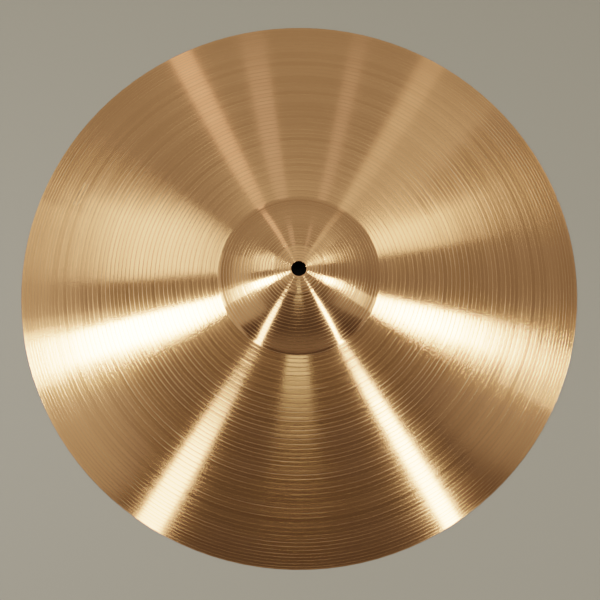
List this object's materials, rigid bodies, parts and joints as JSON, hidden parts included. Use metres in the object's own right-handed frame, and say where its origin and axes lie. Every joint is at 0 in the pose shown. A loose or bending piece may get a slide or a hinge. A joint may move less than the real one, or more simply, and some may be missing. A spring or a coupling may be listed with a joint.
{
  "type": "crash cymbal",
  "caption": "Shallow domed disc of lathed bronze with a raised central bell and a plain mounting hole, struck to sound on a stand.",
  "frame": {"origin": "on the hole's axis, in the plane that the rim rests on", "axes": "+Z along the hole's axis, out of the top of the bell; the disc is round about it, so +X and +Y are free"},
  "size_m": [0.457, 0.457, 0.0493],
  "materials": {
    "bronze": "lathed tin bronze with fine concentric tool grooves, half gloss"
  },
  "bodies": {
    "root": {"cymbal": "bronze"}
  },
  "joints": []
}
